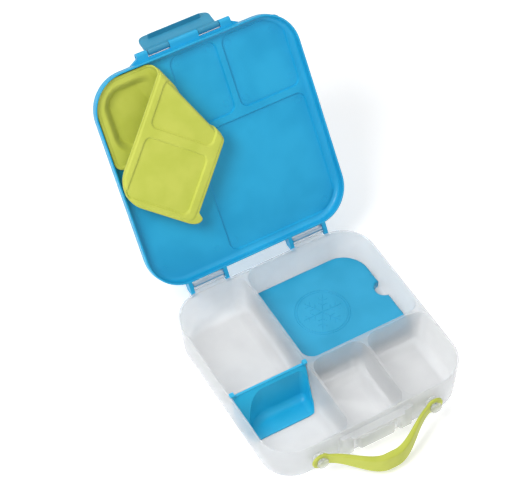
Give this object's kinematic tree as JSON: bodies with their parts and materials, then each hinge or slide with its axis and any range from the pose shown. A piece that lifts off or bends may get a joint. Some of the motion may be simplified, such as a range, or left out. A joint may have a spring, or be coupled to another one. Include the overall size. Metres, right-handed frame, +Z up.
{
  "type": "lunch box",
  "caption": "Square hinged lunch box: divided tray, clip-down lid with a peel-back silicone seal, strap handle, lift-out divider and gel cooler pack.",
  "frame": {"origin": "centre of the flat face that the tray rests on, on the table", "axes": "+Z up, front with handle and latch at -Y, lid hinges at +Y, +X to the right of someone facing the front"},
  "size_m": [0.228, 0.431, 0.2485],
  "materials": {
    "tray_plastic": "frosted translucent polypropylene",
    "blue_plastic": "satin moulded polypropylene",
    "latch_plastic": "satin moulded, slightly translucent",
    "lime_silicone": "matt silicone",
    "gel": "clear gel"
  },
  "bodies": {
    "tray_body": {"tray": "tray_plastic"},
    "lid_body": {"lid": "blue_plastic", "seal": "lime_silicone"},
    "latch_body": {"latch": "latch_plastic"},
    "handle_body": {"handle": "lime_silicone"},
    "divider_body": {"divider": "blue_plastic"},
    "cooler_body": {"cooler_top_shell": "blue_plastic", "cooler_base_shell": "blue_plastic", "cooler_gel": "gel", "cooler_plug": "blue_plastic"}
  },
  "joints": [
    {"name": "lid_hinge", "type": "hinge", "parent": "tray_body", "child": "lid_body", "pos_m": [0, 0.1195, 0.05], "axis": [1, 0, 0], "range_deg": [0, 124], "deforming": ["seal"]},
    {"name": "latch_hinge", "type": "hinge", "parent": "lid_body", "child": "latch_body", "pos_m": [0, 0.25854, 0.24451], "axis": [1, 0, 0], "range_deg": [0, 143]},
    {"name": "handle_swing", "type": "hinge", "parent": "tray_body", "child": "handle_body", "pos_m": [0, -0.1156, 0.027], "axis": [1, 0, 0], "range_deg": [-15, 8]},
    {"name": "divider_lift", "type": "slide", "parent": "tray_body", "child": "divider_body", "axis": [0, 0, 1], "range_m": [0, 0.003]},
    {"name": "cooler_lift", "type": "slide", "parent": "tray_body", "child": "cooler_body", "axis": [0, 0, 1], "range_m": [0, 0.032]}
  ]
}
